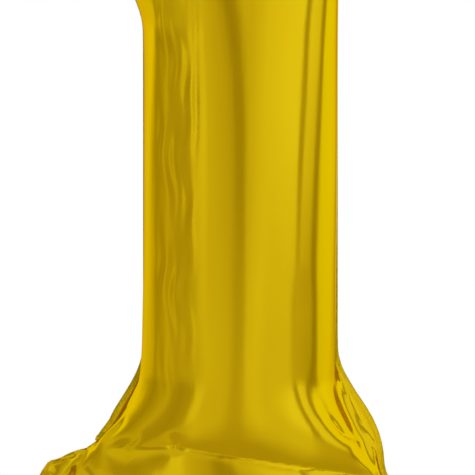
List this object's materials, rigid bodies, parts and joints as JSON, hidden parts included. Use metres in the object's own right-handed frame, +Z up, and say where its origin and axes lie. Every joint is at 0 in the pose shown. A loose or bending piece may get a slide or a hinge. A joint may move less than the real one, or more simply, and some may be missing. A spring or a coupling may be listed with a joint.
{
  "type": "foil number balloon",
  "caption": "Inflated gold film balloon shaped as the digit one, with a welded rim, hanging tabs and a self-sealing inflation tail.",
  "frame": {"origin": "centre of the top tab's punched eyelet, on the plane of the weld between the two panels", "axes": "+X to the right of the digit as it is read, +Y from the front panel to the back panel, +Z up the stem"},
  "size_m": [0.413, 0.1904, 0.9097],
  "materials": {
    "gold_film": "gold metallised nylon film, glossy, crinkled at the weld",
    "valve_film": "clear polyethylene film, slightly milky"
  },
  "bodies": {
    "envelope": {"front_panel": "gold_film", "back_panel": "gold_film", "valve_front_film": "valve_film", "valve_back_film": "valve_film"},
    "tail": {"tail_front_ply": "gold_film", "tail_back_ply": "gold_film"},
    "top_tab": {"top_tab": "gold_film"},
    "bottom_tab": {"bottom_tab": "gold_film"}
  },
  "joints": [
    {"name": "tail_flex", "type": "hinge", "parent": "envelope", "child": "tail", "pos_m": [0.01193, 0, -0.8247], "axis": [0.9936, 0, -0.1132], "range_deg": [-85, 85], "stiffness_Nm_per_rad": 0.00005},
    {"name": "top_tab_flex", "type": "hinge", "parent": "envelope", "child": "top_tab", "pos_m": [0, 0, -0.0115], "axis": [1, 0, 0], "range_deg": [-85, 85], "stiffness_Nm_per_rad": 0.00005},
    {"name": "bottom_tab_flex", "type": "hinge", "parent": "envelope", "child": "bottom_tab", "pos_m": [0.11626, 0, -0.83658], "axis": [0.9936, 0, -0.1132], "range_deg": [-85, 85], "stiffness_Nm_per_rad": 0.00005}
  ]
}
